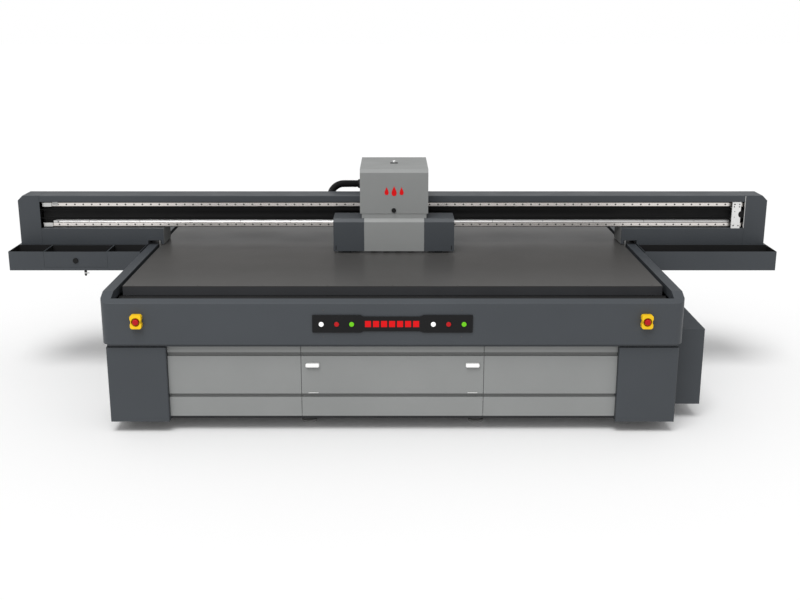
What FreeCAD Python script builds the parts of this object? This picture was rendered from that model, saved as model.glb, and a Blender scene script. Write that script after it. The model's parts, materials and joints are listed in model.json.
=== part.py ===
"""Wide flatbed UV printer: a fixed vacuum table on a covered steel base, with a travelling gantry.

Every Y value is measured back from the face of the front fascia. save() then moves each
node so that the origin is at the bottom centre of the whole machine's box.
+X is the operator's right, +Y points to the back of the machine and +Z is up.
"""
import FreeCAD, Part
import math
import os

Vector = FreeCAD.Vector
X_AXIS = Vector(1, 0, 0)
Y_AXIS = Vector(0, 1, 0)
Z_AXIS = Vector(0, 0, 1)

# ---------------------------------------------------------------- driving dimensions (mm)
base_depth = 2900.0
estop_depth = 46.0
front_y = estop_depth - (base_depth + estop_depth) / 2

table_top = 872.0
table_half = 1648.0
table_front = 234.0
table_back = 2314.0
table_thick = 60.0
rim_inner = 1673.5
rim_outer = 1737.5
rim_front_z = 825.0
rim_slope_depth = 118.0
front_strip = 49.0
fascia_bottom = 571.0
corner_radius = 60.0
sheet = 3.0

cover_outer = 1720.0
cover_inner = 1361.0
cover_top = 545.0
cover_bottom = 69.0
cover_front = 28.0
panel_front = 61.0
panel_top = 545.0
side_panel_top = 570.0
panel_bottom = 95.0
panel_thick = 16.0
door_half = 552.0
seam = 3.0

frame_bottom = 60.0
beam_side_inner = 1580.0
beam_side_outer = 1725.0
beam_side_bottom = 600.0
beam_side_top = 740.0
rail_x = 1700.0
screw_x = 1615.0
screw_z = 775.0
screw_r = 16.0
journal_r = 10.0
running = 0.06
clear = 0.3

gantry_front = 1404.0
beam_front = 1470.0
beam_back = 1585.0
beam_bottom = 990.0
beam_top = 1180.0
fascia_top = 1225.0
trough_top = 1178.0
beam_half = 2488.0
cap_inner = 2493.0
cap_outer = 2644.0
cap_top = 1225.0
rail_front = 1450.0
upper_rail = (1141.5, 1166.5)
lower_rail = (997.0, 1022.0)
belt_z = 1090.0
belt_r = 28.5
belt_thick = 4.0
belt_y = (1425.0, 1450.0)
pulley_r = 28.2
drive_x = -2545.0
idler_x = 2462.0

tray_front = 1180.0
tray_back = 1643.0
tray_bottom = 738.0
tray_inner = 1750.0
tray_outer = 2664.6
drawer_left = -2421.0
drawer_right = -1980.0
drawer_bottom = 760.0

head_left = -405.0
head_right = 423.0
centre_left = -194.0
centre_right = 217.0
head_front = 1131.0
head_back = 1361.0
head_bottom = 886.0
window_bottom = 877.0
head_top = 1111.0
head_bevel = 22.0
hood_left = -222.0
hood_right = 244.0
hood_front = 1156.0
hood_back = 1764.0
hood_step = 1385.0
hood_low = 1144.0
hood_high = 1231.0
hood_top = 1446.0
hood_skin = 2.5
hood_pivot = (1752.0, 1244.0)
pivot_r = 4.0
duct_y = 1665.0
duct_z = 1268.0
duct_r = 26.5
duct_bend = 100.0
z_screw_at = (10.0, 1377.0)
z_screw_r = 6.0


# ---------------------------------------------------------------- helpers
def box(x0, x1, y0, y1, z0, z1):
    return Part.makeBox(x1 - x0, y1 - y0, z1 - z0, Vector(x0, y0, z0))


def rod(x, y, z, radius, length, axis):
    return Part.makeCylinder(radius, length, Vector(x, y, z), axis)


def prism(points, direction):
    outline = Part.makePolygon(points + [points[0]])
    return Part.Face(outline).extrude(direction)


def prism_x(points, x0, x1):
    return prism([Vector(x0, y, z) for y, z in points], Vector(x1 - x0, 0, 0))


def prism_y(points, y0, y1):
    return prism([Vector(x, y0, z) for x, z in points], Vector(0, y1 - y0, 0))


def tube(x0, x1, y0, y1, z0, z1, along, wall=6.0):
    """A rectangular hollow section, open at both ends of the given axis."""
    grow = {axis: -wall for axis in "xyz"}
    grow[along] = 1.0
    inner = box(
        x0 - grow["x"], x1 + grow["x"], y0 - grow["y"], y1 + grow["y"], z0 - grow["z"], z1 + grow["z"]
    )
    return box(x0, x1, y0, y1, z0, z1).cut(inner)


def mirrored(shape):
    return shape.mirror(Vector(0, 0, 0), X_AXIS)


def both_sides(shape):
    return [shape, mirrored(shape)]


def round_upright_edges(shape, y, radius):
    edges = []
    for edge in shape.Edges:
        ends = [vertex.Point for vertex in edge.Vertexes]
        upright = abs(ends[0].x - ends[-1].x) < 1e-6 and abs(ends[0].z - ends[-1].z) > 1
        if upright and all(abs(end.y - y) < 1e-6 for end in ends):
            edges.append(edge)
    return shape.makeFillet(radius, edges)


def save(name, *shapes):
    solids = []
    for shape in shapes:
        solids += shape.Solids
    node = solids[0] if len(solids) == 1 else Part.makeCompound(solids)
    node = node.copy()
    node.translate(Vector(0, front_y, 0))
    node.exportStep(f"parts/{name}.step")


# ---------------------------------------------------------------- base: frame and feet
post_ys = (100.0, 1390.0, 2680.0)
post_size = 120.0
inner_post_x = 523.0
foot_spots = [(1650.0, y) for y in (290.0, 1450.0, 2610.0)]
foot_spots += [(inner_post_x, 233.0), (inner_post_x, 1450.0), (inner_post_x, 2640.0)]


def make_base_frame():
    tubes = []
    side = tube(
        beam_side_inner, beam_side_outer, 62, 2838, beam_side_bottom, beam_side_top, "y", 8
    )
    tubes += both_sides(side)
    for middle in (300, 790, 1280, 1770, 2260):
        tubes.append(
            tube(-beam_side_inner, beam_side_inner, middle - 50, middle + 50, 692, 812, "x")
        )
    for y in (92, 2708):
        tubes.append(tube(-beam_side_inner, beam_side_inner, y, y + 100, 565, 691, "x"))
    for y in post_ys:
        post = tube(1590, 1590 + post_size, y, y + post_size, frame_bottom, beam_side_bottom, "z")
        tubes += both_sides(post)
        tubes.append(tube(-1590, 1590, y + 10, y + 110, frame_bottom, 140, "x", 5))
    for y0, y1 in zip(post_ys[:-1], post_ys[1:]):
        outer = tube(1600, 1700, y0 + post_size, y1, frame_bottom, 140, "y", 5)
        inner = tube(
            inner_post_x - 40, inner_post_x + 40, y0 + 110, y1 + 10, frame_bottom, 140, "y", 5
        )
        tubes += both_sides(outer) + both_sides(inner)
    for y in (260, 1740):
        post = tube(inner_post_x - 40, inner_post_x + 40, y, y + 80, 140, 692, "z", 5)
        tubes += both_sides(post)
    save("base_frame", *tubes)


def make_feet():
    feet = []
    for x, y in foot_spots:
        pad = rod(x, y, 0, 47, 14, Z_AXIS)
        cone = Part.makeCone(43, 22, 8, Vector(x, y, 14), Z_AXIS)
        stud = rod(x, y, 22, 12, frame_bottom - 22, Z_AXIS)
        nut = rod(x, y, 44, 20, 12, Z_AXIS)
        feet += both_sides(pad.fuse([cone, stud, nut]).removeSplitter())
    save("levelling_feet", *feet)


# ---------------------------------------------------------------- base: covers
def front_block(inset):
    drop = 1.0 if inset else 0.0
    block = box(
        -rim_outer + inset, rim_outer - inset, inset, rim_slope_depth + drop,
        fascia_bottom - drop, table_top
    )
    block = round_upright_edges(block, inset, corner_radius - inset)
    slope = (table_top - rim_front_z) / rim_slope_depth
    low = rim_front_z - inset * 1.1
    wedge = [
        (-10, low - 10 * slope), (rim_slope_depth + 2, low + slope * (rim_slope_depth + 2)),
        (rim_slope_depth + 2, 950), (-10, 950)
    ]
    block = block.cut(prism_x(wedge, -2000, 2000))
    hole = rim_inner + inset
    return block.cut(box(-hole, hole, front_strip - inset, 300, 500, 950))


def make_front_fascia():
    fascia = front_block(0).cut(front_block(sheet))
    lip = rim_inner + sheet
    fascia = fascia.cut(box(-lip, lip, front_strip - sheet, 300, 500, 800))
    neck = box(-1712, 1712, 34, 40, 549, 600)
    save("front_fascia", fascia, neck)


def rear_block(inset):
    start = base_depth - rim_slope_depth
    drop = 1.0 if inset else 0.0
    block = box(
        -rim_outer + inset, rim_outer - inset, start - drop, base_depth - inset,
        fascia_bottom - drop, table_top - inset
    )
    block = round_upright_edges(block, base_depth - inset, corner_radius - inset)
    hole = rim_inner + inset
    return block.cut(box(-hole, hole, start - 10, base_depth - front_strip + inset, 500, 950))


def make_rear_covers():
    fascia = rear_block(0).cut(rear_block(sheet))
    lip = rim_inner + sheet
    fascia = fascia.cut(box(-lip, lip, 2700, base_depth - front_strip + sheet, 500, 800))
    deck = box(-1645, 1645, table_back + 4, base_depth - front_strip - 3, table_top - 6, table_top)
    leg = box(-1570, 1570, 2600, 2606, 812, table_top - 6)
    deck = deck.fuse(leg)
    save("rear_covers", fascia, deck)


def make_side_covers():
    profile = [
        (rim_inner, 815), (rim_inner, table_top), (rim_outer, table_top),
        (rim_outer, fascia_bottom), (rim_outer - sheet, fascia_bottom),
        (rim_outer - sheet, table_top - sheet), (rim_inner + sheet, table_top - sheet),
        (rim_inner + sheet, 815)
    ]
    end = base_depth - rim_slope_depth - clear
    save("side_covers", *both_sides(prism_y(profile, rim_slope_depth + clear, end)))


def make_recess_tray():
    profile = [
        (52, 836), (52, 800), (231, 800), (231, 811), (228, 811), (228, 803), (55, 803), (55, 836)
    ]
    save("front_recess_tray", prism_x(profile, -1670, 1670))


def corner_cover():
    outer = box(cover_inner, cover_outer, cover_front, 388, cover_bottom, cover_top)
    outer = round_upright_edges(outer, cover_front, 8)
    inner = box(
        cover_inner + sheet, cover_outer - sheet, cover_front + sheet, 400, 60, cover_top + 10
    )
    return outer.cut(inner).cut(box(cover_inner - 1, cover_inner + 10, 90, 400, 60, 600))


def make_corner_covers():
    front = corner_cover()
    middle = Vector(0, base_depth / 2, 0)
    covers = []
    for cover in both_sides(front):
        covers += [cover, cover.mirror(middle, Y_AXIS)]
    save("corner_covers", *covers)


# Front outline of a base panel: two shallow grooves and a slightly proud middle band.
panel_line = [
    (panel_front, panel_top), (panel_front, 504), (panel_front + 14, 504),
    (panel_front + 14, 481), (panel_front, 481), (panel_front - 4, 360), (panel_front, 240),
    (panel_front + 14, 240), (panel_front + 14, 218), (panel_front, 218),
    (panel_front, panel_bottom)
]
door_pivot = (panel_front + 8, panel_bottom + 8)


def front_panel(x0, x1):
    back = [(y + panel_thick, z) for y, z in reversed(panel_line)]
    return prism_x(panel_line + back, x0, x1)


def make_front_panels():
    panel = front_panel(door_half + seam, cover_inner - 1.5)
    bore = rod(door_half, door_pivot[0], door_pivot[1], pivot_r + running, 20, X_AXIS)
    save("front_panels", *both_sides(panel.cut(bore)))


def make_front_door():
    panel = front_panel(-door_half, door_half)
    pin = rod(door_half - 5, door_pivot[0], door_pivot[1], pivot_r, 20, X_AXIS)
    door = panel.fuse([pin, mirrored(pin)])
    save("front_door", door)
    handles = []
    for x in (-484.0, 485.0):
        grip = box(x - 42, x + 42, 34, 66, 413, 437)
        grip = grip.makeFillet(9, [e for e in grip.Edges if e.BoundBox.YMin < 34.1])
        handles.append(grip.cut(door))
    save("door_handles", *handles)


def make_side_and_rear_panels():
    panels = []
    for y0, y1 in ((391, 1448), (1452, 2509)):
        panels += both_sides(box(1711, 1717, y0, y1, panel_bottom, side_panel_top))
    save("side_panels", *panels)
    rear = box(2, 1359.5, 2823, 2839, panel_bottom, side_panel_top)
    groove = box(0, 1400, 2833, 2840, 481, 504)
    lower = box(0, 1400, 2833, 2840, 218, 240)
    save("rear_panels", *both_sides(rear.cut(groove).cut(lower)))


# ---------------------------------------------------------------- base: table and Y drive
def make_table():
    bottom = table_top - table_thick
    table = box(-table_half, table_half, table_front, table_back, bottom, table_top)
    columns = 6
    rows = 4
    wall = 14.0
    cell_x = (2 * table_half - wall) / columns
    cell_y = (table_back - table_front - wall) / rows
    for i in range(columns):
        for j in range(rows):
            x0 = -table_half + wall + i * cell_x
            y0 = table_front + wall + j * cell_y
            table = table.cut(
                box(x0, x0 + cell_x - wall, y0, y0 + cell_y - wall, bottom - 1, table_top - 12)
            )
    save("vacuum_table", table)


def make_y_rails():
    half = 11.5
    save(
        "y_guide_rails",
        *both_sides(box(rail_x - half, rail_x + half, 80, 2820, beam_side_top, 762))
    )


def make_y_drive():
    bore = rod(screw_x, 60, screw_z, journal_r + running, 2765, Y_AXIS)
    blocks = []
    for y in (70, 2792):
        blocks.append(box(1588, 1642, y, y + 28, beam_side_top, 798).cut(bore))
    motor = box(1586, 1644, 2821, 2888, 742, 800)
    units = []
    for piece in blocks + [motor]:
        units += both_sides(piece)
    save("y_drive_units", *units)
    screw = rod(screw_x, 99, screw_z, screw_r, 2692, Y_AXIS)
    journal = rod(screw_x, 72, screw_z, journal_r, 2746, Y_AXIS)
    right = screw.fuse(journal).removeSplitter()
    save("y_screw_right", right)
    save("y_screw_left", mirrored(right))


def make_blowers():
    blowers = []
    for x in (-1060.0, 1060.0):
        plate = box(x - 450, x + 450, 440, 860, 141, 147)
        rail = [box(x - 450, x + 450, y, y + 40, 147, 160) for y in (480, 780)]
        body = rod(x, 560, 350, 180, 130, Y_AXIS)
        motor = rod(x, 690, 350, 105, 190, Y_AXIS)
        foot = box(x - 120, x + 120, 520, 800, 160, 200)
        port = rod(x + 120, 625, 350, 35, 230, Z_AXIS)
        blowers += [plate.fuse(rail), foot.fuse([body, motor, port]).removeSplitter()]
    save("vacuum_blowers", *blowers)


# ---------------------------------------------------------------- base: controls
button_z = 702.0
button_spots = {
    "left_white_button": -422.0, "left_red_button": -331.0, "left_green_button": -242.0,
    "right_white_button": 242.0, "right_red_button": 332.5, "right_green_button": 424.0
}
button_r = 14.5
estop_spots = {"estop_button_left": -1516.0, "estop_button_right": 1505.0}
estop_z = 721.0


def make_control_panel():
    outline = [
        (-476, 649.5), (-476, 757), (-190, 757), (-170, 747), (163, 747), (183, 757), (476, 757),
        (476, 649.5), (183, 649.5), (163, 658), (-170, 658), (-190, 649.5)
    ]
    plate = prism_y(outline, -10, 0)
    plate = plate.makeFillet(5, [
        e for e in plate.Edges
        if e.BoundBox.YLength > 9 and abs(e.BoundBox.XMin) > 400
    ])
    for x in button_spots.values():
        plate = plate.cut(rod(x, -20, button_z, button_r + clear, 30, Y_AXIS))
    save("control_panel", plate)
    for name, x in button_spots.items():
        cap = rod(x, -17, button_z, button_r, 13, Y_AXIS)
        cap = cap.makeFillet(2.5, [e for e in cap.Edges if e.BoundBox.YMax < -16.9])
        save(name, cap)


def make_estops():
    collars = []
    for name, x in estop_spots.items():
        collar = box(x - 34, x + 34, 6 - estop_depth, 0, estop_z - 42, estop_z + 42)
        corners = [e for e in collar.Edges if e.BoundBox.YLength > 30]
        collar = collar.makeFillet(14, corners)
        for side in (-1, 1):
            notch_x = x + side * 34
            collar = collar.cut(box(notch_x - 4, notch_x + 4, -50, 5, estop_z - 12, estop_z + 12))
        dish = rod(x, -50, estop_z, 26, 36, Y_AXIS)
        bore = rod(x, -20, estop_z, 9 + clear, 18, Y_AXIS)
        collars.append(collar.cut([dish, bore]))
        head = rod(x, -estop_depth, estop_z, 18, 18, Y_AXIS)
        head = head.makeFillet(5, [e for e in head.Edges if e.BoundBox.YMax < -45.9])
        stem = rod(x, -31, estop_z, 9, 22, Y_AXIS)
        save(name, head.fuse(stem).removeSplitter())
    save("estop_collars", *collars)


# ---------------------------------------------------------------- base: electrical cabinet
cabinet_x = (1741.0, 1936.0)
cabinet_y = (265.0, 1565.0)
cabinet_z = (96.0, 589.0)
cabinet_pivot = (1929.0, 1552.0)


def make_cabinet():
    x0, x1 = cabinet_x
    y0, y1 = cabinet_y
    z0, z1 = cabinet_z
    wall = 2.5
    shell = box(x0, x1, y0, y1, z0, z1)
    shell = shell.cut(box(x0 + wall, x1 + 5, y0 + wall, y1 - wall, z0 + wall, z1 - wall))
    arms = [box(1717, x0, y, y + 50, 300, 360) for y in (420, 1350)]
    shell = shell.fuse(arms)
    shell = shell.cut(rod(cabinet_pivot[0], cabinet_pivot[1], 80, 3 + running, 520, Z_AXIS))
    shell = shell.cut(rod(1850, 1550, 200, 12, 30, Y_AXIS))
    save("electrical_cabinet", shell)
    door = box(1922, x1, y0 + 4, 1559, z0 + 4, z1 - 4)
    door = door.cut(box(1920, 1933, y0 + 10, 1540, z0 + 10, z1 - 10))
    pin = rod(cabinet_pivot[0], cabinet_pivot[1], z0, 3, z1 - z0, Z_AXIS)
    save("cabinet_door", door.fuse(pin))
    plate = box(x0 + 5, x0 + 9, 300, 1530, 130, 560)
    drives = [box(x0 + 9, x0 + 120, y, y + 90, 330, 530) for y in range(340, 1000, 130)]
    terminals = box(x0 + 9, x0 + 60, 340, 1480, 180, 230)
    supply = box(x0 + 9, x0 + 110, 1080, 1300, 330, 480)
    save("electronics_plate", plate.fuse(drives + [terminals, supply]))
    gland = rod(1850, 1565, 200, 20, 12, Y_AXIS).fuse(rod(1850, 1577, 200, 15, 14, Y_AXIS))
    save("power_inlet", gland.cut(rod(1850, 1560, 200, 8, 40, Y_AXIS)))


# ---------------------------------------------------------------- gantry
def make_y_bearings():
    hanger = box(1655, 1667, 1424, 1623, 748, 902)
    foot = box(1667, 1730, 1424, 1623, 786, 798)
    nut = box(1588, 1655, 1500, 1560, 748, 798)
    nut = nut.cut(rod(screw_x, 1400, screw_z, screw_r + running, 300, Y_AXIS))
    pieces = both_sides(hanger.fuse([foot, nut]))
    for y in (1424, 1533):
        block = box(1669, 1730, y, y + 90, 745, 786)
        groove = box(
            rail_x - 11.5 - clear, rail_x + 11.5 + clear, y - 1, y + 91, 740, 762 + clear
        )
        pieces += both_sides(block.cut(groove))
    save("y_bearing_blocks", *pieces)


def make_stands():
    outline = [
        (1626, 876), (1626, beam_bottom), (cap_inner, beam_bottom), (cap_inner, table_top),
        (1740, table_top), (1740, 902), (1647, 902), (1647, 876)
    ]
    stand = prism_y(outline, gantry_front, tray_back)
    stand = stand.cut(box(1744, cap_inner - 4, gantry_front + 4, tray_back + 1, 876, 986))
    save("gantry_stands", *both_sides(stand))


def make_beam():
    save(
        "gantry_beam",
        tube(-beam_half, beam_half, beam_front, beam_back, beam_bottom, beam_top, "x")
    )
    profile = [
        (gantry_front, beam_top), (gantry_front, fascia_top - 3), (gantry_front + 3, fascia_top),
        (beam_back + sheet, fascia_top), (beam_back + sheet, 1182), (beam_back, 1182),
        (beam_back, fascia_top - sheet), (gantry_front + 4, fascia_top - sheet),
        (gantry_front + sheet, fascia_top - 4), (gantry_front + sheet, beam_top)
    ]
    save("beam_top_fascia", prism_x(profile, -cap_inner + 1, cap_inner - 1))


def make_end_caps():
    def block(inset):
        outer = cap_outer - inset
        top = cap_top - inset
        points = [
            (cap_inner - 1 if inset else cap_inner, table_top + inset), (outer, table_top + inset),
            (outer, top - 35), (outer - 35, top), (cap_inner - 1 if inset else cap_inner, top)
        ]
        return prism_y(points, gantry_front + inset, 1590 - inset)
    save("end_caps", *both_sides(block(0).cut(block(sheet))))


def make_x_rails():
    rails = []
    for z0, z1 in (upper_rail, lower_rail):
        rails.append(box(-2480, 2480, rail_front, beam_front, z0, z1))
        rails.append(box(-2486, -2420, rail_front - 10, rail_front, z0 - 2, z1 + 2))
        rails.append(box(2458, 2486, rail_front - 10, rail_front, z0 - 2, z1 + 2))
    joint_pitch = 360.0
    ledge_half = 2405.0
    strip = [
        (beam_front, 1023), (1462, 1023), (1462, 1026), (1467.5, 1041), (beam_front, 1041)
    ]
    for i in range(-7, 7):
        x0 = max(i * joint_pitch - 5, -ledge_half)
        x1 = min((i + 1) * joint_pitch - 7, ledge_half)
        rails.append(prism_x(strip, x0, x1))
    save("x_guide_rails", *rails)


def belt_block(radius, y0, y1):
    ends = [rod(x, y0, belt_z, radius, y1 - y0, Y_AXIS) for x in (drive_x, idler_x)]
    middle = box(drive_x, idler_x, y0, y1, belt_z - radius, belt_z + radius)
    return middle.fuse(ends).removeSplitter()


def make_x_drive():
    y0, y1 = belt_y
    belt = belt_block(belt_r + belt_thick, y0, y1).cut(belt_block(belt_r, y0 - 1, y1 + 1))
    save("x_belt", belt)

    def pulley(x):
        parts = [
            rod(x, y0 - 2.5, belt_z, belt_r + 4.5, 2, Y_AXIS),
            rod(x, y1 + 0.5, belt_z, belt_r + 4.5, 2, Y_AXIS)
        ]
        return rod(x, y0 - 2.5, belt_z, pulley_r, y1 - y0 + 5, Y_AXIS).fuse(parts)

    axle_r = 6.0
    idler = pulley(idler_x).cut(rod(idler_x, 1400, belt_z, axle_r + running, 80, Y_AXIS))
    save("idler_pulley", idler)
    shaft = rod(drive_x, y1, belt_z, 7, 32, Y_AXIS)
    save("drive_pulley", pulley(drive_x).fuse(shaft).removeSplitter())
    plate = box(2403, 2464, 1408, 1418, beam_bottom, 1182)
    plate = plate.cut(rod(2474, 1400, belt_z, 26, 30, Y_AXIS))
    for z in (1012, 1070, 1110, 1162):
        plate = plate.cut(rod(2423, 1400, z, 3.5, 30, Y_AXIS))
    posts = []
    for x in (2412, 2452):
        for z in (1049, 1132):
            posts.append(rod(x, 1418, z, 4, beam_front - 1418, Y_AXIS))
    axle = rod(idler_x, 1420, belt_z, axle_r, beam_front - 1420, Y_AXIS)
    save("idler_bracket", plate.fuse(posts), axle)
    motor = box(drive_x - 40, drive_x + 40, beam_front, 1582, belt_z - 40, belt_z + 40)
    motor = motor.cut(rod(drive_x, 1460, belt_z, 7 + running, 25, Y_AXIS))
    save("x_servo_motor", motor)


def make_chain_trough():
    profile = [
        (1588, beam_bottom), (1588, trough_top), (1591, trough_top), (1591, 993), (1747, 993),
        (1747, trough_top), (1750, trough_top), (1750, beam_bottom)
    ]
    save("chain_trough", prism_x(profile, -2485, 2485))
    links = []
    pitch = 100.0
    for i in range(24):
        x = -2420 + i * pitch
        link = box(x, x + pitch - 4, 1625, 1715, 993, 1038)
        links.append(link.cut(box(x - 1, x + pitch, 1633, 1707, 1001, 1030)))
    save("energy_chain", *links)


def make_trays():
    def shell():
        outer = box(tray_inner, tray_outer, tray_front, tray_back, tray_bottom, table_top)
        return outer.cut(
            box(tray_inner + 4, tray_outer - 4, 1407, tray_back - 3, 730, table_top - 4)
        )
    wall = 3.5
    floor = tray_bottom + 4
    well = box(
        tray_inner + wall, tray_outer - wall, tray_front + 3, 1400, floor, table_top + 10
    )
    save("right_tray", shell().cut(well))
    left = mirrored(shell())
    left = left.cut(
        box(-tray_outer + wall, drawer_left - wall, tray_front + 3, 1400, floor, table_top + 10)
    )
    left = left.cut(
        box(drawer_right + wall, -tray_inner - wall, tray_front + 3, 1400, floor, table_top + 10)
    )
    left = left.cut(
        box(drawer_left, drawer_right, tray_front - 5, 1401, drawer_bottom, table_top + 10)
    )
    left = left.cut(
        box(drawer_left + 4, drawer_right - 4, tray_front + 6, 1400, 730, drawer_bottom - 4)
    )
    cock = rod(-2147, 1215, 700, 9, tray_bottom - 700, Z_AXIS)
    cock = cock.fuse(rod(-2147, 1215, 692, 6, 8, Z_AXIS))
    lever_z = 716.0
    cock = cock.cut(rod(-2147, 1200, lever_z, 3 + running, 12, Y_AXIS))
    left_plate = box(-2170, -2124, 1190, 1240, tray_bottom, tray_bottom + 6)
    save("left_tray", left.fuse(left_plate).removeSplitter(), cock)
    stem = rod(-2147, 1198, lever_z, 3, 13, Y_AXIS)
    handle = box(-2151, -2117, 1195, 1198, lever_z - 4, lever_z + 4)
    save("drain_lever", stem.fuse(handle))


def make_drawer():
    gap = 1.0
    drawer = box(
        drawer_left + gap, drawer_right - gap, tray_front, 1398, drawer_bottom + gap,
        table_top - gap
    )
    drawer = drawer.cut(
        box(
            drawer_left + 6, drawer_right - 6, tray_front + 4, 1392, drawer_bottom + 6,
            table_top + 10
        )
    )
    lock_at = (-2201, 808)
    drawer = drawer.cut(
        rod(lock_at[0], tray_front - 5, lock_at[1], 9 + running, 20, Y_AXIS)
    )
    save("maintenance_drawer", drawer)
    lock = rod(lock_at[0], tray_front - 8, lock_at[1], 18.5, 7.5, Y_AXIS)
    stem = rod(lock_at[0], tray_front - 1, lock_at[1], 9, 10, Y_AXIS)
    cam = box(
        lock_at[0] - 10, lock_at[0] + 28, tray_front + 6, tray_front + 9,
        lock_at[1] - 8, lock_at[1] + 8
    )
    save("drawer_lock", lock.fuse([stem, cam]))


# ---------------------------------------------------------------- carriage and print head
z_rail_xs = (-140.0, 160.0)
z_rail_half = 7.0


def make_carriage():
    tower = box(-160, 180, 1388, 1400, 985, 1395)
    for x in (-150, 70):
        for rail, z0, z1 in ((upper_rail, 1130, 1178), (lower_rail, 992, 1033)):
            block = box(x, x + 100, 1400, 1461, z0, z1)
            groove = box(
                x - 1, x + 101, rail_front - clear, 1480, rail[0] - clear, rail[1] + clear
            )
            tower = tower.fuse(block.cut(groove))
    tower = tower.fuse(box(-20, 40, 1400, 1424.5, 1100, 1116))
    x, y = z_screw_at
    foot = box(x - 18, x + 18, 1368, 1388, 985, 999)
    foot = foot.cut(rod(x, y, 980, 4 + running, 30, Z_AXIS))
    motor = box(x - 21, x + 21, 1358, 1388, 1360, 1400)
    motor = motor.cut(rod(x, y, 1350, z_screw_r + running, 26, Z_AXIS))
    rails = []
    for rail_middle in z_rail_xs:
        rails.append(
            box(rail_middle - z_rail_half, rail_middle + z_rail_half, 1376, 1388, 1000, 1380)
        )
    save("carriage_plate", tower.fuse([foot, motor]), *rails)
    screw = rod(x, y, 1000, z_screw_r, 374, Z_AXIS).fuse(rod(x, y, 986, 4, 20, Z_AXIS))
    save("z_screw", screw.removeSplitter())


def make_head_frame():
    plate = box(-385, 405, 1150, 1350, 905, 917)
    back = box(-160, 180, 1350, 1366, 905, 1255)
    bar = box(-186, 208, 1340, 1352, hood_pivot[1] - 8, hood_pivot[1] + 8)
    pieces = [back, bar]
    for x in (-186, 192):
        arm = box(x, x + 16, 1340, hood_pivot[0], hood_pivot[1] - 8, hood_pivot[1] + 8)
        eye = rod(x, hood_pivot[0], hood_pivot[1], 8, 16, X_AXIS)
        bore = rod(x - 1, hood_pivot[0], hood_pivot[1], pivot_r + running, 18, X_AXIS)
        pieces.append(arm.fuse(eye).cut(bore))
    for x in z_rail_xs:
        for z in (1010, 1180):
            block = box(x - 18, x + 18, 1366, 1386, z, z + 50)
            groove = box(
                x - z_rail_half - clear, x + z_rail_half + clear, 1376 - clear, 1390, z - 1, z + 51
            )
            pieces.append(block.cut(groove))
    x, y = z_screw_at
    nut = box(x - 14, x + 14, 1366, 1386, 1100, 1130)
    pieces.append(nut.cut(rod(x, y, 1090, z_screw_r + running, 50, Z_AXIS)))
    save("head_frame", plate.fuse(pieces))


def make_heads_and_lamps():
    heads = []
    for i in range(4):
        x = -150 + i * 86
        for y in (1165, 1255):
            heads.append(box(x, x + 40, y, y + 80, head_bottom + 3, 905))
            heads.append(box(x - 6, x + 46, y, y + 80, 917, 1010))
    save("print_heads", *heads)
    lamps = []
    for x0, x1 in ((-380, -230), (250, 400)):
        middle = (x0 + x1) / 2 - 8
        window = box(middle - 29, middle + 29, 1137, 1165, window_bottom, 905)
        lamps.append(box(x0, x1, 1160, 1340, head_bottom + 3, 905).fuse(window))
        lamps.append(box(x0, x1, 1160, 1340, 917, 1050))
    save("uv_lamps", *lamps)


def head_cover(x0, x1, top_back):
    """Front wall, bevel and top of a head cover, as one folded sheet."""
    skin = 2.5
    bend = head_bevel - skin * 0.4
    profile = [
        (head_front, head_bottom), (head_front, head_top - head_bevel),
        (head_front + head_bevel, head_top), (top_back, head_top), (top_back, head_top - skin),
        (head_front + skin + bend, head_top - skin), (head_front + skin, head_top - skin - bend),
        (head_front + skin, head_bottom)
    ]
    return prism_x(profile, x0, x1)


def side_wall(x0, x1):
    profile = [
        (head_front, head_bottom), (head_front, head_top - head_bevel),
        (head_front + head_bevel, head_top), (head_back, head_top), (head_back, head_bottom)
    ]
    return prism_x(profile, x0, x1)


def make_head_covers():
    left = head_cover(head_left, centre_left - 0.5, head_back)
    right = head_cover(centre_right + 0.5, head_right, head_back)
    left = left.fuse(side_wall(head_left, head_left + 2.5))
    right = right.fuse(side_wall(head_right - 2.5, head_right))
    save("lamp_covers", left, right)
    ring = box(-211, 233, 1160, 1384, head_top, hood_low - clear)
    ring = ring.cut(box(-208, 230, 1163, 1390, head_top - 1, hood_low + 1))
    save("head_front_cover", head_cover(centre_left, centre_right, 1349), ring)


def hood_block(inset, drop):
    profile = [
        (hood_front + inset, hood_low - drop), (hood_front + inset, hood_top - 22 - inset * 0.4),
        (hood_front + 22 + inset * 0.4, hood_top - inset), (hood_back - inset, hood_top - inset),
        (hood_back - inset, hood_high - drop), (hood_step, hood_high - drop),
        (hood_step, hood_low - drop)
    ]
    return prism_x(profile, hood_left + inset, hood_right - inset)


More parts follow.
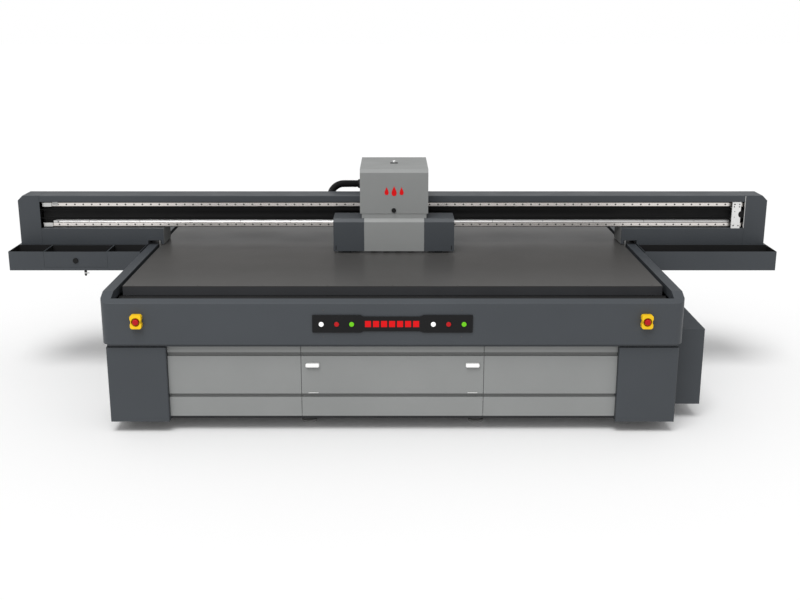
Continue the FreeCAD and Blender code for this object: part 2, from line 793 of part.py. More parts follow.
def make_hood():
    hood = hood_block(0, 0).cut(hood_block(hood_skin, 1))
    hood = hood.cut(box(hood_left - 1, hood_left + 5, duct_y - 37, duct_y + 37, 1200, 1306))
    lock_x = 9.0
    lock_z = 1167.0
    hood = hood.cut(rod(lock_x, hood_front - 5, lock_z, 8 + running, 20, Y_AXIS))
    left_pin = rod(hood_left + 1, hood_pivot[0], hood_pivot[1], pivot_r, 56, X_AXIS)
    right_pin = rod(hood_right - 57, hood_pivot[0], hood_pivot[1], pivot_r, 56, X_AXIS)
    hood = hood.fuse([left_pin, right_pin])
    knob_y = 1460.0
    foot_plate = box(-15, 37, knob_y - 9, knob_y + 9, hood_top, hood_top + 5)
    knob = rod(11, knob_y, hood_top + 5, 14, 15, Z_AXIS)
    knob = knob.makeFillet(6, [e for e in knob.Edges if e.BoundBox.ZMin > hood_top + 19.9])
    save("hood", hood, foot_plate.fuse(knob))
    lock = rod(lock_x, hood_front - 8, lock_z, 15.5, 7.5, Y_AXIS)
    stem = rod(lock_x, hood_front - 1, lock_z, 8, 9, Y_AXIS)
    cam = box(lock_x - 8, lock_x + 14, hood_front + 5, hood_front + 8, lock_z - 6, lock_z + 6)
    save("hood_lock", lock.fuse([stem, cam]))


def make_duct():
    start = -184.0
    bend_x = hood_left - 130.0
    level = rod(bend_x, duct_y, duct_z, duct_r, start - bend_x, X_AXIS)
    section = Part.Face(Part.Wire(Part.makeCircle(duct_r, Vector(bend_x, duct_y, duct_z), X_AXIS)))
    elbow = section.revolve(Vector(bend_x, duct_y, duct_z - duct_bend), Y_AXIS, -90)
    drop = rod(bend_x - duct_bend, duct_y, 1060, duct_r, duct_z - duct_bend - 1060, Z_AXIS)
    flange = box(hood_left - 10, hood_left - 4, duct_y - 38, duct_y + 38, 1230, 1307)
    duct = level.fuse([elbow, drop, flange])
    duct = duct.cut(box(-186 - 2, -160, 1600, 1700, hood_pivot[1] - 8, hood_pivot[1] + 8))
    save("cable_duct", duct.removeSplitter())


os.makedirs("parts", exist_ok=True)
make_base_frame()
make_feet()
make_front_fascia()
make_rear_covers()
make_side_covers()
make_recess_tray()
make_corner_covers()
make_front_panels()
make_front_door()
make_side_and_rear_panels()
make_table()
make_y_rails()
make_y_drive()
make_blowers()
make_control_panel()
make_estops()
make_cabinet()
make_y_bearings()
make_stands()
make_beam()
make_end_caps()
make_x_rails()
make_x_drive()
make_chain_trough()
make_trays()
make_drawer()
make_carriage()
make_head_frame()
make_heads_and_lamps()
make_head_covers()
make_hood()
make_duct()
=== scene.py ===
import bmesh
import bpy
import json
import math
from mathutils import Matrix, Vector


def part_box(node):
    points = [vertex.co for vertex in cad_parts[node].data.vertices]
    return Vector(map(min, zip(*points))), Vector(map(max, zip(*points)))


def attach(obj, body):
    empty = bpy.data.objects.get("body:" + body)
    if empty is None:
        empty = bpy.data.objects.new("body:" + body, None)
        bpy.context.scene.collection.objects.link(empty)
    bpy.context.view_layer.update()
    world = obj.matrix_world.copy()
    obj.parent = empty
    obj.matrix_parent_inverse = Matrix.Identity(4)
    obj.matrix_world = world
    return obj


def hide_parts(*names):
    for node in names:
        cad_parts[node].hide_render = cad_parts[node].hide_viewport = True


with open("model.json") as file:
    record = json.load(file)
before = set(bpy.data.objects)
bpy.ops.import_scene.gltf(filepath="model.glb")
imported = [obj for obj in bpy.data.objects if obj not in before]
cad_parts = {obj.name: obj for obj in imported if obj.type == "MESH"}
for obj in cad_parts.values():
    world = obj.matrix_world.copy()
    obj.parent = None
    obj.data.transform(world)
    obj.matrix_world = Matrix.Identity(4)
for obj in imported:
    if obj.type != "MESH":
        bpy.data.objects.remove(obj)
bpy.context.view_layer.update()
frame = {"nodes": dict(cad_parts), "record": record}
scene = bpy.context.scene
TAU = 2 * math.pi
FRONT = Vector((0, -1, 0))
UP = Vector((0, 0, 1))


# ---------------------------------------------------------------- camera
CAMERA_HEIGHT = 2.555
CAMERA_DISTANCE = 6.218
CAMERA_PITCH = math.radians(15.35)
CAMERA_LENS = 49.2
CAMERA_SHIFT = 0.0094


def make_camera():
    """A camera in front of the machine, tilted down at it."""
    data = bpy.data.cameras.new("camera")
    data.lens = CAMERA_LENS
    data.sensor_width = 36.0
    data.shift_x = CAMERA_SHIFT
    data.clip_end = 200.0
    camera = bpy.data.objects.new("camera", data)
    camera.location = (0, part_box("front_fascia")[0].y - CAMERA_DISTANCE, CAMERA_HEIGHT)
    camera.rotation_euler = (math.pi / 2 - CAMERA_PITCH, 0, 0)
    scene.collection.objects.link(camera)
    scene.camera = camera


make_camera()


# ---------------------------------------------------------------- materials
NOISE_LOW = 0.3    # a noise texture seldom goes below or above these
NOISE_HIGH = 0.7


class Shader:
    """A material under construction: a Principled surface fed by procedural nodes."""

    def __init__(self, name):
        self.material = bpy.data.materials.new(name)
        self.material.use_nodes = True
        self.nodes = self.material.node_tree.nodes
        self.links = self.material.node_tree.links
        self.surface = self.nodes["Principled BSDF"]
        coordinates = self.nodes.new("ShaderNodeTexCoord")
        self.place = coordinates.outputs["Object"]

    def noise(self, scale, detail=3.0, stretch=None):
        place = self.place
        if stretch:
            mapping = self.nodes.new("ShaderNodeMapping")
            mapping.inputs["Scale"].default_value = stretch
            self.links.new(place, mapping.inputs["Vector"])
            place = mapping.outputs["Vector"]
        noise = self.nodes.new("ShaderNodeTexNoise")
        noise.inputs["Scale"].default_value = scale
        noise.inputs["Detail"].default_value = detail
        self.links.new(place, noise.inputs["Vector"])
        return noise.outputs["Fac"]

    def spread(self, value, low, high):
        """Stretches a noise so that it runs from low to high."""
        span = self.nodes.new("ShaderNodeMapRange")
        span.inputs["From Min"].default_value = NOISE_LOW
        span.inputs["From Max"].default_value = NOISE_HIGH
        span.inputs["To Min"].default_value = low
        span.inputs["To Max"].default_value = high
        self.links.new(value, span.inputs["Value"])
        return span.outputs["Result"]

    def tones(self, value, dark, light):
        """Colours the surface from dark to light by a noise."""
        mix = self.nodes.new("ShaderNodeMix")
        mix.data_type = "RGBA"
        mix.inputs["A"].default_value = (*dark, 1)
        mix.inputs["B"].default_value = (*light, 1)
        self.links.new(self.spread(value, 0.0, 1.0), mix.inputs["Factor"])
        self.links.new(mix.outputs["Result"], self.surface.inputs["Base Color"])

    def bump(self, value, distance, strength):
        bump = self.nodes.new("ShaderNodeBump")
        bump.inputs["Distance"].default_value = distance
        bump.inputs["Strength"].default_value = strength
        self.links.new(value, bump.inputs["Height"])
        self.links.new(bump.outputs["Normal"], self.surface.inputs["Normal"])

    def gloss(self, value, low, high):
        """Varies the roughness from low to high by a noise."""
        self.links.new(self.spread(value, low, high), self.surface.inputs["Roughness"])

    def set(self, socket, value):
        """Gives a socket of the surface one value everywhere."""
        self.surface.inputs[socket].default_value = value


def shade(color, factor):
    return tuple(min(1.0, c * factor) for c in color)


def coated(name, color, rough, peel=0.00006, peel_scale=420.0, drift=0.05, coat=0.0, shine=0.5):
    """Powder coat or moulded plastic: faint orange peel, slow colour and gloss drift."""
    shader = Shader(name)
    shader.tones(shader.noise(1.7, 4), shade(color, 1 - drift), shade(color, 1 + drift))
    shader.gloss(shader.noise(6.0, 5), rough * 0.9, rough * 1.12)
    shader.bump(shader.noise(peel_scale, 2), peel, 0.35)
    shader.set("Specular IOR Level", shine)
    shader.set("Coat Weight", coat)
    shader.set("Coat Roughness", 0.12)
    return shader.material


def metal(name, color, rough, stretch, depth=0.00003):
    """Ground or drawn metal with fine lines along one direction."""
    shader = Shader(name)
    lines = shader.noise(24.0, 4, stretch)
    shader.tones(lines, shade(color, 0.95), shade(color, 1.04))
    shader.gloss(lines, rough * 0.8, rough * 1.25)
    shader.bump(lines, depth, 0.4)
    shader.set("Metallic", 1.0)
    return shader.material


def glowing(name, color, strength):
    """A lit plastic button."""
    shader = Shader(name)
    shader.tones(shader.noise(90.0, 2), shade(color, 0.94), color)
    shader.set("Roughness", 0.35)
    shader.set("Specular IOR Level", 0.15)
    shader.set("Emission Color", (*color, 1))
    shader.set("Emission Strength", strength)
    return shader.material


def table_material():
    """The dark anodised face of the table, slightly uneven in gloss."""
    shader = Shader("table_skin")
    shader.tones(shader.noise(0.9, 5), (0.050, 0.0485, 0.0465), (0.057, 0.0555, 0.0535))
    shader.gloss(shader.noise(2.2, 6), 0.31, 0.37)
    shader.set("Specular IOR Level", 0.2)
    shader.bump(shader.noise(300.0, 3), 0.00008, 0.3)
    return shader.material


dark = coated("dark_paint", (0.0445, 0.0500, 0.0565), 0.45, shine=0.3)
light = coated("light_paint", (0.225, 0.231, 0.228), 0.48, shine=0.35)
# painted shading: a grey for painted shade on the groove floors and painted light on the stands'
# inner faces
painted_shading_gray = coated("painted_shading_paint", (0.150, 0.154, 0.152), 0.5, shine=0.3)
hood_gray = coated("hood_paint", (0.208, 0.214, 0.211), 0.45, shine=0.35)
black = coated("black_paint", (0.0125, 0.0125, 0.0128), 0.55, shine=0.15)
recess_black = coated("recess_black", (0.0185, 0.0185, 0.0188), 0.5, shine=0.25)
foot_gray = coated("foot_gray", (0.34, 0.34, 0.335), 0.45)
frame_paint = coated("frame_paint", (0.022, 0.023, 0.026), 0.6, 0.00012, 260.0)
gloss_black = coated("panel_black", (0.0105, 0.0105, 0.011), 0.34, 0.00002, 500.0, shine=0.1)
plastic_black = coated("black_plastic", (0.009, 0.009, 0.0095), 0.5, 0.0001, 700.0, shine=0.15)
rubber = coated("belt_rubber", (0.008, 0.008, 0.008), 0.75, 0.0002, 900.0, shine=0.1)
white = coated("white_paint", (0.72, 0.72, 0.71), 0.35)
handle_white = coated("handle_white", (0.86, 0.86, 0.85), 0.3, coat=0.3)
yellow = coated("estop_yellow", (0.76, 0.47, 0.008), 0.4, shine=0.2)
red = coated("estop_red", (0.40, 0.008, 0.012), 0.4, shine=0.15)
board = coated("board", (0.28, 0.30, 0.30), 0.5)
mark_red = coated("mark_red", (0.60, 0.006, 0.008), 0.5, shine=0.1)
steel = metal("steel", (0.76, 0.722, 0.69), 0.28, (0.3, 40, 40), 0.00001)
# a brighter copy of the rail steel: the strip's own metal, with a painted highlight in its
# brightness
bright_strip = metal("bright_strip", (0.87, 0.865, 0.86), 0.34, (0.3, 40, 40), 0.00001)
zinc = metal("zinc", (0.62, 0.62, 0.61), 0.36, (20, 20, 20), 0.00004)
zinc_dark = metal("zinc_dark", (0.11, 0.105, 0.10), 0.4, (20, 20, 20))
chrome = metal("chrome", (0.80, 0.80, 0.80), 0.12, (30, 30, 30), 0.000008)
table_skin = table_material()
lamp_white = glowing("button_white", (0.93, 0.93, 0.93), 0.12)
lamp_red = glowing("button_red", (0.40, 0.008, 0.010), 0.03)
lamp_green = glowing("button_green", (0.13, 0.50, 0.010), 0.08)


# ---------------------------------------------------------------- pieces
SMOOTH_ANGLE = math.radians(35)    # edges sharper than this stay sharp
BEVEL_ANGLE = math.radians(28)     # edges sharper than this are rounded
FLAT_ANGLE = math.radians(0.6)     # faces flatter than this are joined up


def body_with(node):
    """The body that carries a node."""
    for body, nodes in frame["record"]["behaviour"]["bodies"].items():
        if node in nodes:
            return body


def new_piece(name, bm, material, body, smooth=True):
    """Turns a bmesh into a visible piece that rides on a body."""
    mesh = bpy.data.meshes.new(name)
    bmesh.ops.recalc_face_normals(bm, faces=bm.faces)
    bm.to_mesh(mesh)
    bm.free()
    piece = bpy.data.objects.new(name, mesh)
    scene.collection.objects.link(piece)
    mesh.materials.append(material)
    for polygon in mesh.polygons:
        polygon.use_smooth = smooth
    if smooth:
        mesh.set_sharp_from_angle(angle=SMOOTH_ANGLE)
    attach(piece, body)
    return piece


def bevel(piece, width, segments=2):
    """Rounds a piece's edges, with its flat faces kept flat."""
    sharp = piece.data.attributes.get("sharp_edge")
    if sharp:
        piece.data.attributes.remove(sharp)
    modifier = piece.modifiers.new("edge_round", "BEVEL")
    modifier.width = width
    modifier.segments = segments
    modifier.limit_method = "ANGLE"
    modifier.angle_limit = BEVEL_ANGLE
    modifier.use_clamp_overlap = True
    normals = piece.modifiers.new("flat_faces", "WEIGHTED_NORMAL")
    normals.weight = 100


def recolour(piece, material, lo, hi, facing=None):
    """Gives another material to the faces whose middle lies between two corners."""
    piece.data.materials.append(material)
    index = len(piece.data.materials) - 1
    for polygon in piece.data.polygons:
        inside = all(a <= c <= b for a, c, b in zip(lo, polygon.center, hi))
        if inside and (facing is None or polygon.normal.dot(Vector(facing)) > 0.7):
            polygon.material_index = index


def refine(node, material, width, segments):
    """A finer copy of a node: its flat faces joined up and its edges rounded."""
    bm = bmesh.new()
    bm.from_mesh(frame["nodes"][node].data)
    bmesh.ops.remove_doubles(bm, verts=bm.verts, dist=0.00002)
    bmesh.ops.dissolve_limit(bm, angle_limit=FLAT_ANGLE, verts=bm.verts, edges=bm.edges)
    piece = new_piece(node + "_skin", bm, material, body_with(node))
    bevel(piece, width, segments)
    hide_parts(node)
    return piece


def ring(bm, centre, side, other, radius, steps):
    """A circle of vertices, in the plane of two unit directions."""
    points = []
    for i in range(steps):
        turn = TAU * i / steps
        offset = side * math.cos(turn) + other * math.sin(turn)
        points.append(bm.verts.new(centre + offset * radius))
    return points


def join_rings(bm, rings):
    """Adds the faces between each ring and the next."""
    for a, b in zip(rings[:-1], rings[1:]):
        for i in range(len(a)):
            j = (i + 1) % len(a)
            bm.faces.new((a[i], a[j], b[j], b[i]))


def close_tube(bm, rings):
    """Joins the rings, and closes both ends."""
    join_rings(bm, rings)
    bm.faces.new(rings[0])
    bm.faces.new(rings[-1])


def turned(bm, profile, centre, axis, steps):
    """Adds a turned shape: profile is (radius, distance along axis) from back to front."""
    axis = Vector(axis).normalized()
    side = axis.orthogonal().normalized()
    other = axis.cross(side)
    close_tube(bm, [
        ring(bm, Vector(centre) + axis * along, side, other, radius, steps)
        for radius, along in profile
    ])


def block(bm, lo, hi):
    """Adds a block between two corners."""
    size = Vector(hi) - Vector(lo)
    place = Matrix.Translation((Vector(lo) + Vector(hi)) / 2) @ Matrix.Diagonal((*size, 1))
    bmesh.ops.create_cube(bm, size=1.0, matrix=place)


def screw(bm, centre, axis, radius):
    """A socket head screw seen from its head, with a chamfer and a sunk socket."""
    high = radius * 0.35
    profile = [
        (radius, 0), (radius, high * 0.7), (radius * 0.85, high), (radius * 0.5, high),
        (radius * 0.48, high * 0.15)
    ]
    turned(bm, profile, centre, axis, 12)


def prism(bm, outline, start, depth):
    """Adds a closed prism from an outline of points, pushed by a depth vector."""
    near = [bm.verts.new(Vector(start) + Vector(p)) for p in outline]
    far = [bm.verts.new(v.co + Vector(depth)) for v in near]
    bm.faces.new(near)
    bm.faces.new(list(reversed(far)))
    for i in range(len(near)):
        j = (i + 1) % len(near)
        bm.faces.new((near[i], near[j], far[j], far[i]))


# ---------------------------------------------------------------- CAD nodes, refined
# node: (material, width of its rounded edges, segments of each edge)
refined = {
    "front_fascia": (dark, 0.0014, 3), "rear_covers": (dark, 0.0014, 2),
    "side_covers": (dark, 0.0014, 3), "corner_covers": (dark, 0.0014, 3),
    "front_panels": (light, 0.002, 3), "front_door": (light, 0.002, 3),
    "side_panels": (light, 0.002, 2), "rear_panels": (light, 0.002, 2),
    "electrical_cabinet": (dark, 0.001, 2), "cabinet_door": (dark, 0.0015, 2),
    "vacuum_table": (table_skin, 0.002, 3), "front_recess_tray": (recess_black, 0.001, 2),
    "gantry_stands": (dark, 0.0016, 3), "end_caps": (dark, 0.0014, 3),
    "beam_top_fascia": (dark, 0.001, 2), "chain_trough": (dark, 0.001, 2),
    "left_tray": (dark, 0.0014, 2), "right_tray": (dark, 0.0014, 2),
    "maintenance_drawer": (dark, 0.0012, 2), "lamp_covers": (dark, 0.001, 2),
    "head_front_cover": (light, 0.001, 2), "control_panel": (gloss_black, 0.0018, 3),
    "estop_collars": (yellow, 0.004, 3), "idler_bracket": (white, 0.001, 2),
    "x_guide_rails": (steel, 0.0008, 2), "hood": (hood_gray, 0.001, 2),
    "base_frame": (frame_paint, 0.002, 2), "head_frame": (zinc, 0.0006, 2),
    "carriage_plate": (zinc, 0.0006, 2), "y_bearing_blocks": (zinc, 0.001, 2),
    "vacuum_blowers": (zinc, 0.002, 2), "electronics_plate": (board, 0.001, 2)
}
skins = {
    node: refine(node, material, width, segments)
    for node, (material, width, segments) in refined.items()
}

# nodes whose CAD shape is right already
plain = {
    "levelling_feet": foot_gray, "y_guide_rails": steel, "y_drive_units": black,
    "power_inlet": plastic_black, "door_handles": handle_white, "gantry_beam": black,
    "energy_chain": plastic_black, "x_belt": rubber,
    "x_servo_motor": black, "idler_pulley": plastic_black, "drive_pulley": zinc,
    "drawer_lock": plastic_black, "drain_lever": zinc, "z_screw": steel,
    "print_heads": steel, "uv_lamps": black, "hood_lock": plastic_black,
    "y_screw_left": steel, "y_screw_right": steel, "estop_button_left": red,
    "estop_button_right": red, "left_white_button": lamp_white,
    "left_red_button": lamp_red, "left_green_button": lamp_green,
    "right_white_button": lamp_white, "right_red_button": lamp_red,
    "right_green_button": lamp_green
}
for node, material in plain.items():
    data = frame["nodes"][node].data
    data.materials.clear()
    data.materials.append(material)


# ---------------------------------------------------------------- second colours of nodes
def colour_table_edge():
    """The front edge of the table is darker than its top."""
    lo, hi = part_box("vacuum_table")
    recolour(skins["vacuum_table"], frame_paint, lo, (hi.x, lo.y + 0.001, hi.z), FRONT)


def colour_tray_wells():
    """Colours the insides of both side trays and of the drawer black."""
    wall = 0.0025
    bottom = 0.003
    rim = 0.001
    depth = 0.222
    for node in ("left_tray", "right_tray", "maintenance_drawer"):
        lo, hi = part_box(node)
        inner_lo = (lo.x + wall, lo.y + wall, lo.z + bottom)
        inner_hi = (hi.x - wall, lo.y + depth, hi.z - rim)
        recolour(skins[node], black, inner_lo, inner_hi)


def colour_panel_grooves():
    """Two long grooves run along the front panels and the door; their floors get a darker grey,
    painted shade in the grooves.
    """
    face = 0.001
    depth = 0.022
    for node in ("front_panels", "front_door"):
        lo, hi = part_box(node)
        for bottom, top in ((0.214, 0.243), (0.478, 0.507)):
            near = (lo.x, lo.y + face, bottom)
            recolour(skins[node], painted_shading_gray, near, (hi.x, lo.y + depth, top))


def colour_hood_knob():
    """The lifting knob has a black stem and a chromed head."""
    lo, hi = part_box("hood")
    stem_z = hi.z - 0.0195
    head_z = hi.z - 0.0145
    recolour(skins["hood"], black, (lo.x, lo.y, stem_z), (hi.x, hi.y, head_z))
    recolour(skins["hood"], chrome, (lo.x, lo.y, head_z), hi)


def colour_rails():
    """A bright metal strip lies over the lower rail, its extra brightness partly a painted
    highlight of the light on its top; the clamps on the left are plain zinc.
    """
    lo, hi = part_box("x_guide_rails")
    strip_bottom, strip_top = 1.0225, 1.0415
    clamp_end = (-2.418, lo.y + 0.0105, 1.175)
    recolour(
        skins["x_guide_rails"], bright_strip, (lo.x, lo.y, strip_bottom), (hi.x, hi.y, strip_top)
    )
    recolour(skins["x_guide_rails"], zinc, (lo.x, lo.y, 0.99), clamp_end)


def colour_stands():
    """The faces of the gantry stands towards the table get a lighter grey: painted light for the
    light that these faces catch.
    """
    inner, outer = 1.50, 1.72
    lo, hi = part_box("gantry_stands")
    for side in (-1, 1):
        left, right = sorted((side * inner, side * outer))
        recolour(
            skins["gantry_stands"], painted_shading_gray, (left, lo.y, lo.z), (right, hi.y, hi.z),
            (-side, 0, 0)
        )


def colour_idler_axle():
    """The end of the idler's axle shows black in its bracket."""
    lo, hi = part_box("idler_pulley")
    middle = (lo + hi) / 2
    reach = Vector((0.013, 0.05, 0.013))
    recolour(skins["idler_bracket"], black, middle - reach, middle + reach)


colour_table_edge()
colour_tray_wells()
colour_panel_grooves()
colour_hood_knob()
colour_rails()
colour_stands()
colour_idler_axle()


# ---------------------------------------------------------------- beam details
# the clamps at the rails' ends stand 10 mm out from the rails' faces
RAIL_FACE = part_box("x_guide_rails")[0].y + 0.010
RAIL_HOLE_PITCH = 0.060


def make_rail_plugs():
    """Plugs in the mounting holes of both guide rails, flush with their faces."""
    count = 80
    middle_x = -0.006
    upper_z, lower_z = 1.154, 1.0095
    plug = [(0.0062, 0), (0.0062, 0.0001), (0.0052, 0.0002)]
    bm = bmesh.new()
    for z in (upper_z, lower_z):
        for i in range(count):
            x = middle_x + (i - (count - 1) / 2) * RAIL_HOLE_PITCH
            turned(bm, plug, (x, RAIL_FACE, z), FRONT, 12)
    new_piece("rail_screw_plugs", bm, zinc_dark, "gantry")


def make_rail_end_caps():
    """White caps on the left ends of both rails."""
    left = -2.415
    bm = bmesh.new()
    for right, bottom, top in ((-2.375, 1.146, 1.172), (-2.385, 1.024, 1.040)):
        block(bm, (left, RAIL_FACE - 0.004, bottom), (right, RAIL_FACE + 0.001, top))
    bevel(new_piece("rail_end_caps", bm, white, "gantry"), 0.001)


def make_end_cap_seal():
    """A narrow metal strip down the inner edge of the right end cap."""
    left, right = 2.4885, 2.4925
    bottom, top = 0.992, 1.222
    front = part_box("end_caps")[0].y
    bm = bmesh.new()
    block(bm, (left, front - 0.0005, bottom), (right, front + 0.017, top))
    bevel(new_piece("end_cap_seal", bm, zinc, "gantry"), 0.0006)


make_rail_plugs()
make_rail_end_caps()
make_end_cap_seal()


# ---------------------------------------------------------------- cable duct
DUCT_RADIUS = 0.0265
DUCT_BEND = 0.100
DUCT_TOP = 1.268
DUCT_RIPPLE_PITCH = 0.0075
DUCT_RIPPLE_DEPTH = 0.0028
duct_lo, duct_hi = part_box("cable_duct")
duct_y = (duct_lo.y + duct_hi.y) / 2


def duct_line(along, level, bend_x):
    """The middle of the duct and its outward direction, at a length along it from the hood."""
    arc = DUCT_BEND * math.pi / 2
    bend_z = DUCT_TOP - DUCT_BEND
    if along < level:
        return Vector((bend_x + level - along, duct_y, DUCT_TOP)), UP
    if along < level + arc:
        turn = (along - level) / DUCT_BEND
        out = Vector((-math.sin(turn), 0, math.cos(turn)))
        return Vector((bend_x, duct_y, bend_z)) + out * DUCT_BEND, out
    z = bend_z - (along - level - arc)
    return Vector((bend_x - DUCT_BEND, duct_y, z)), Vector((-1, 0, 0))


def make_duct():
    """Corrugated flexible duct: level out of the hood, round a bend, down into the trough."""
    bend_x = duct_lo.x + DUCT_RADIUS + DUCT_BEND
    level = duct_hi.x - 0.004 - bend_x
    drop = DUCT_TOP - DUCT_BEND - (duct_lo.z + 0.001)
    total = level + DUCT_BEND * math.pi / 2 + drop
    count = int(total / DUCT_RIPPLE_PITCH) * 4
    across = Vector((0, 1, 0))
    bm = bmesh.new()
    rings = []
    for i in range(count + 1):
        along = total * i / count
        ripple = 0.5 - 0.5 * math.cos(TAU * along / DUCT_RIPPLE_PITCH)
        radius = DUCT_RADIUS - DUCT_RIPPLE_DEPTH * (1 - ripple)
        centre, out = duct_line(along, level, bend_x)
        rings.append(ring(bm, centre, out, across, radius, 28))
    close_tube(bm, rings)
    duct = new_piece("duct_hose", bm, plastic_black, "print_head_unit")
    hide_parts("cable_duct")


def make_duct_flange():
    """A plate and a collar where the duct leaves the hood."""
    half_width = 0.038
    bottom, top = 1.230, 1.307
    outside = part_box("hood")[0].x - 0.009
    collar = [(0.0325, 0), (0.0325, 0.014), (0.030, 0.018)]
    bm = bmesh.new()
    block(
        bm, (outside, duct_y - half_width, bottom), (outside + 0.005, duct_y + half_width, top)
    )
    turned(bm, collar, (outside, duct_y, DUCT_TOP), (-1, 0, 0), 32)
    flange = new_piece("duct_flange", bm, plastic_black, "print_head_unit")
    bevel(flange, 0.001)


make_duct()
make_duct_flange()


# ---------------------------------------------------------------- head and hood details
def ink_drop(height, width):
    """The outline of a drop: a circle pinched to a point at its top."""
    steps = 40
    outline = []
    for i in range(steps):
        turn = TAU * i / steps
        pinch = math.sin(turn / 2) ** 1.6
        outline.append((width * math.sin(turn) * pinch, 0, height * math.cos(turn)))
    return outline


def make_hood_mark():
    """Three ink drops on the front of the hood, where the photographed one has its mark."""
    lo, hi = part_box("hood")
    middle = (lo.x + hi.x) / 2
    spacing = 0.051
    mark_z = 1.300
    bm = bmesh.new()
    for place, width in ((-1, 0.020), (0, 0.025), (1, 0.020)):
        outline = ink_drop(width * 1.4, width)
        prism(bm, outline, (middle + place * spacing, lo.y, mark_z), FRONT * 0.0012)
    new_piece("hood_ink_drop_mark", bm, mark_red, "hood", False)


def make_hood_screws():
    lo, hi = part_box("hood")
    bm = bmesh.new()
    for x in (lo.x + 0.025, hi.x - 0.025):
        screw(bm, (x, hi.y - 0.03, hi.z - 0.020), UP, 0.004)
    new_piece("hood_screws", bm, zinc, "hood")


def make_lamp_cover_vents():
    """A short black patch low on the front of each lamp cover: painted shade standing in for a
    slot.
    """
    half_width = 0.003
    lo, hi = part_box("lamp_covers")
    bm = bmesh.new()
    for x in (lo.x + 0.017, hi.x - 0.017):
        near = (x - half_width, lo.y - 0.0006, lo.z + 0.010)
        block(bm, near, (x + half_width, lo.y + 0.001, lo.z + 0.040))
    bevel(new_piece("lamp_cover_vents", bm, black, "print_head_unit"), 0.0004)


make_hood_mark()
make_hood_screws()
make_lamp_cover_vents()


# ---------------------------------------------------------------- control details
def make_button_rings():
    """A raised ring round each of the six buttons."""
    panel_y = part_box("control_panel")[0].y
    side = Vector((1, 0, 0))
    bm = bmesh.new()
    for hand in ("left", "right"):
        for colour in ("white", "red", "green"):
            lo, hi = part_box(f"{hand}_{colour}_button")
            centre = (lo + hi) / 2
            inner = (hi.x - lo.x) / 2 + 0.0004
            profile = [
                (inner + 0.0035, 0), (inner + 0.0035, 0.0015), (inner + 0.002, 0.003),
                (inner + 0.0004, 0.003), (inner, 0)
            ]
            rings = [
                ring(bm, Vector((centre.x, panel_y - along, centre.z)), side, UP, radius, 32)
                for radius, along in profile
            ]
            join_rings(bm, rings + rings[:1])
    new_piece("button_rings", bm, plastic_black, "base")


def make_panel_screws():
    """Four screws in the fascia, above and below the control panel."""
    reach = 0.411
    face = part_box("front_fascia")[0].y
    bm = bmesh.new()
    for x in (-reach, reach):
        for z in (0.621, 0.785):
            screw(bm, (x, face, z), FRONT, 0.0035)
    new_piece("panel_screws", bm, zinc_dark, "base")


def make_status_bars():
    """A row of red bars in the middle of the control panel."""
    count = 7
    left = -0.163
    pitch = 0.0475
    width = 0.036
    half_height = 0.019
    lo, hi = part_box("control_panel")
    middle = (lo.z + hi.z) / 2
    bm = bmesh.new()
    for i in range(count):
        x = left + i * pitch
        near = (x, lo.y - 0.0012, middle - half_height)
        block(bm, near, (x + width, lo.y + 0.0002, middle + half_height))
    bevel(new_piece("panel_status_bars", bm, mark_red, "base"), 0.0005)


make_button_rings()
make_panel_screws()
make_status_bars()


# ---------------------------------------------------------------- table and cover details
def make_table_screws():
    """A row of screws near the front and back edges of the table."""
    count = 9
    end_gap = 0.06
    edge_gap = 0.018
    lo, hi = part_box("vacuum_table")
    pitch = (hi.x - lo.x - 2 * end_gap) / (count - 1)
    bm = bmesh.new()
    for i in range(count):
        for y in (lo.y + edge_gap, hi.y - edge_gap):
            screw(bm, (lo.x + end_gap + pitch * i, y, hi.z - 0.0008), UP, 0.005)
    new_piece("table_screws", bm, zinc_dark, "base")


def make_table_trim():
    """A thin strip along the top of the table's front edge."""
    lo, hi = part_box("vacuum_table")
    bm = bmesh.new()
    near = (lo.x + 0.001, lo.y - 0.0006, hi.z - 0.0045)
    block(bm, near, (hi.x - 0.001, lo.y + 0.001, hi.z - 0.001))
    new_piece("table_edge_trim", bm, zinc_dark, "base", False)


def louvre_bank(bm, start, out, along):
    """Eight louvres one above the other: out and along are each louvre's vectors."""
    rows = 8
    pitch = 0.022
    height = 0.010
    outline = [(0, 0, 0), out, (0, 0, height)]
    for row in range(rows):
        prism(bm, outline, Vector(start) + UP * row * pitch, along)


def make_louvres():
    """Vents in the side panels, clear of the cabinet on the right, and in the rear panels."""
    out = 0.006
    side_y, side_z, side_length = 0.78, 0.250, 0.32
    rear_x, rear_z, rear_length = 0.9, 0.262, 0.4
    bm = bmesh.new()
    lo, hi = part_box("side_panels")
    for x, side, y in ((lo.x, -1, -side_y), (lo.x, -1, side_y), (hi.x, 1, side_y)):
        start = (x, y - side_length / 2, side_z)
        louvre_bank(bm, start, (side * out, 0, 0), (0, side_length, 0))
    rear_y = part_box("rear_panels")[1].y
    for x in (-rear_x, rear_x):
        start = (x - rear_length / 2, rear_y, rear_z)
        louvre_bank(bm, start, (0, out, 0), (rear_length, 0, 0))
    new_piece("vent_louvres", bm, light, "base", False)


def make_end_cap_screws():
    """Four screws in the outer face of each end cap."""
    edge_gap = 0.03
    lo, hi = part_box("end_caps")
    bm = bmesh.new()
    for side in (-1, 1):
        for y in (lo.y + edge_gap, hi.y - edge_gap):
            for z in (0.92, 1.14):
                screw(bm, (hi.x * side, y, z), (side, 0, 0), 0.006)
    new_piece("end_cap_screws", bm, zinc, "gantry")


def make_bracket_screws():
    """Six screws in the front face of the idler bracket."""
    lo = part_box("idler_bracket")[0]
    bm = bmesh.new()
    for across in (0.014, 0.05):
        for up in (0.02, 0.155, 0.172):
            screw(bm, (lo.x + across, lo.y, lo.z + up), FRONT, 0.0045)
    new_piece("bracket_screws", bm, zinc_dark, "gantry")


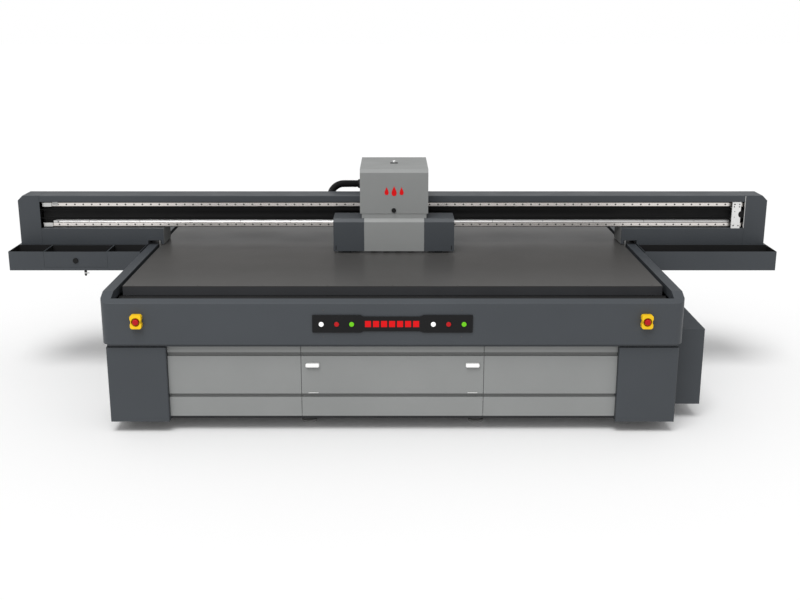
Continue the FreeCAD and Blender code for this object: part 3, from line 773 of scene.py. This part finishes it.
def make_door_strips():
    """Thin white strips under the handles, just above the lower groove: catches whose glint is
    painted on as white.
    """
    half_width = 0.030
    bottom, top = 0.2445, 0.2475
    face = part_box("front_door")[0].y
    bm = bmesh.new()
    for x in (-0.481, 0.487):
        block(bm, (x - half_width, face - 0.0005, bottom), (x + half_width, face + 0.002, top))
    new_piece("door_strips", bm, white, "front_door", False)


make_table_screws()
make_table_trim()
make_louvres()
make_end_cap_screws()
make_bracket_screws()
make_door_strips()


# ---------------------------------------------------------------- floor and light
FLOOR_HALF = 60.0
WORLD_LIGHT = 0.65     # strength that lights the machine
WORLD_SEEN = 1.0       # strength that the camera sees
FILL_POWER = 320
SUN_POWER = 1.44
SUN_SPREAD = math.radians(32)


def make_floor():
    """A white studio floor, which is not part of the object."""
    mesh = bpy.data.meshes.new("floor")
    corners = [(-1, -1), (1, -1), (1, 1), (-1, 1)]
    mesh.from_pydata(
        [(x * FLOOR_HALF, y * FLOOR_HALF, 0) for x, y in corners], [], [(0, 1, 2, 3)]
    )
    floor = bpy.data.objects.new("floor", mesh)
    scene.collection.objects.link(floor)
    shader = Shader("floor")
    shader.tones(shader.noise(0.3, 2), (0.925, 0.925, 0.925), (0.935, 0.935, 0.935))
    shader.set("Roughness", 0.8)
    shader.set("Emission Color", (1, 1, 1, 1))
    shader.set("Emission Strength", 0.03)
    shader.set("Specular IOR Level", 0.1)
    mesh.materials.append(shader.material)
    return floor


def make_front_fill(floor):
    """A large soft light on the machine's front, which doesn't light the floor."""
    place = Vector((-2.0, -7.0, 6.5))
    target = Vector((0, 0, 0.6))
    data = bpy.data.lights.new("front_fill", "AREA")
    data.shape = "RECTANGLE"
    data.size = 5
    data.size_y = 3
    data.energy = FILL_POWER
    lamp = bpy.data.objects.new("front_fill", data)
    lamp.location = place
    lamp.rotation_euler = (target - place).to_track_quat("-Z", "Y").to_euler()
    scene.collection.objects.link(lamp)
    unlit = bpy.data.collections.new("front_fill_receivers")
    unlit.objects.link(floor)
    unlit.collection_objects[0].light_linking.link_state = "EXCLUDE"
    lamp.light_linking.receiver_collection = unlit


def make_overhead():
    """A wide soft sun, which gives the shadow under the machine."""
    data = bpy.data.lights.new("overhead", "SUN")
    data.energy = SUN_POWER
    data.angle = SUN_SPREAD
    sun = bpy.data.objects.new("overhead", data)
    sun.rotation_euler = (math.radians(20), math.radians(-6), 0)
    scene.collection.objects.link(sun)


def make_world():
    """White all round, and brighter to the camera than to the machine."""
    world = bpy.data.worlds.new("studio")
    world.use_nodes = True
    nodes = world.node_tree.nodes
    links = world.node_tree.links
    path = nodes.new("ShaderNodeLightPath")
    seen = nodes.new("ShaderNodeMapRange")
    seen.inputs["To Min"].default_value = WORLD_LIGHT
    seen.inputs["To Max"].default_value = WORLD_SEEN
    background = nodes["Background"]
    background.inputs["Color"].default_value = (1, 1, 1, 1)
    links.new(path.outputs["Is Camera Ray"], seen.inputs["Value"])
    links.new(seen.outputs["Result"], background.inputs["Strength"])
    scene.world = world


make_front_fill(make_floor())
make_overhead()
make_world()
scene.view_settings.view_transform = "Standard"
